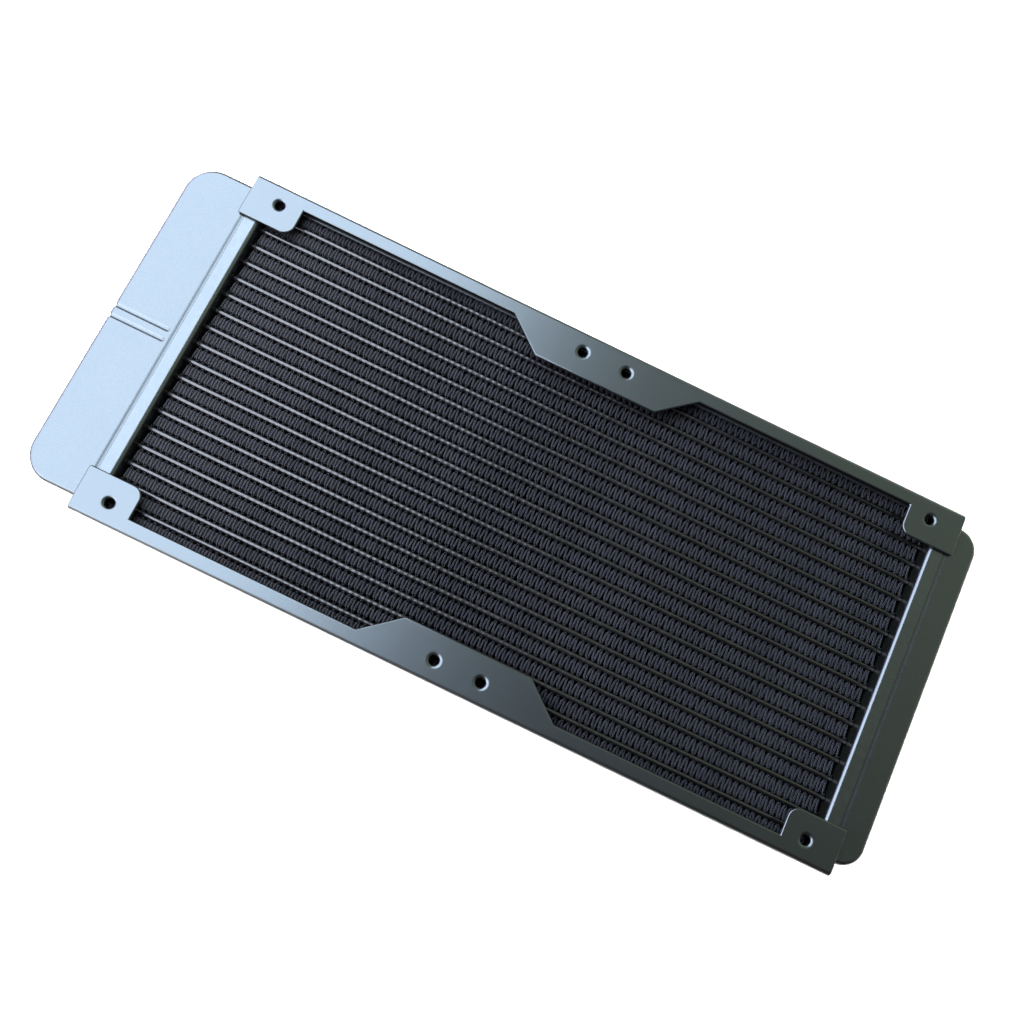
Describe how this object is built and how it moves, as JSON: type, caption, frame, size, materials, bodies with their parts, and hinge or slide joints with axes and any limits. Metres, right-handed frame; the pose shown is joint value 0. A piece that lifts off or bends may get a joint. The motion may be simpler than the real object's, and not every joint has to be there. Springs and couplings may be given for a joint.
{
  "type": "liquid cooling radiator",
  "caption": "Flat liquid cooling radiator: end tanks joined by rows of flat tubes and folded fins, between side rails drilled for 120 mm fans.",
  "frame": {"origin": "centre of the footprint, on the plane of the port-side flanges", "axes": "+X along the length from the divided port tank to the return tank, +Y across the tubes, +Z away from the port side"},
  "size_m": [0.2726, 0.118, 0.028],
  "materials": {
    "rail_paint": "satin black enamel over folded aluminium sheet",
    "tank_paint": "satin black enamel over pressed aluminium",
    "header_paint": "satin black enamel",
    "side_plate_paint": "thin satin black enamel",
    "tube_paint": "thin satin black enamel, brighter on the round noses",
    "fin_paint": "thin dull black enamel over folded strip",
    "divider_metal": "bare brazed aluminium, hidden inside the tank",
    "bush_metal": "turned and threaded metal, painted outside and bare in the thread"
  },
  "bodies": {
    "root": {"flat_tube_01": "tube_paint", "flat_tube_02": "tube_paint", "flat_tube_03": "tube_paint", "flat_tube_04": "tube_paint", "flat_tube_05": "tube_paint", "flat_tube_06": "tube_paint", "flat_tube_07": "tube_paint", "flat_tube_08": "tube_paint", "flat_tube_09": "tube_paint", "flat_tube_10": "tube_paint", "flat_tube_11": "tube_paint", "flat_tube_12": "tube_paint", "flat_tube_13": "tube_paint", "flat_tube_14": "tube_paint", "flat_tube_15": "tube_paint", "flat_tube_16": "tube_paint", "flat_tube_17": "tube_paint", "flat_tube_18": "tube_paint", "fin_strip_01": "fin_paint", "fin_strip_02": "fin_paint", "fin_strip_03": "fin_paint", "fin_strip_04": "fin_paint", "fin_strip_05": "fin_paint", "fin_strip_06": "fin_paint", "fin_strip_07": "fin_paint", "fin_strip_08": "fin_paint", "fin_strip_09": "fin_paint", "fin_strip_10": "fin_paint", "fin_strip_11": "fin_paint", "fin_strip_12": "fin_paint", "fin_strip_13": "fin_paint", "fin_strip_14": "fin_paint", "fin_strip_15": "fin_paint", "fin_strip_16": "fin_paint", "fin_strip_17": "fin_paint", "fin_strip_18": "fin_paint", "fin_strip_19": "fin_paint", "core_side_plate_upper": "side_plate_paint", "core_side_plate_lower": "side_plate_paint", "header_plate_port_end": "header_paint", "header_plate_return_end": "header_paint", "side_rail_upper": "rail_paint", "side_rail_lower": "rail_paint", "port_tank": "tank_paint", "return_tank": "tank_paint", "tank_divider": "divider_metal", "inlet_port_bush": "bush_metal", "outlet_port_bush": "bush_metal"}
  },
  "joints": []
}
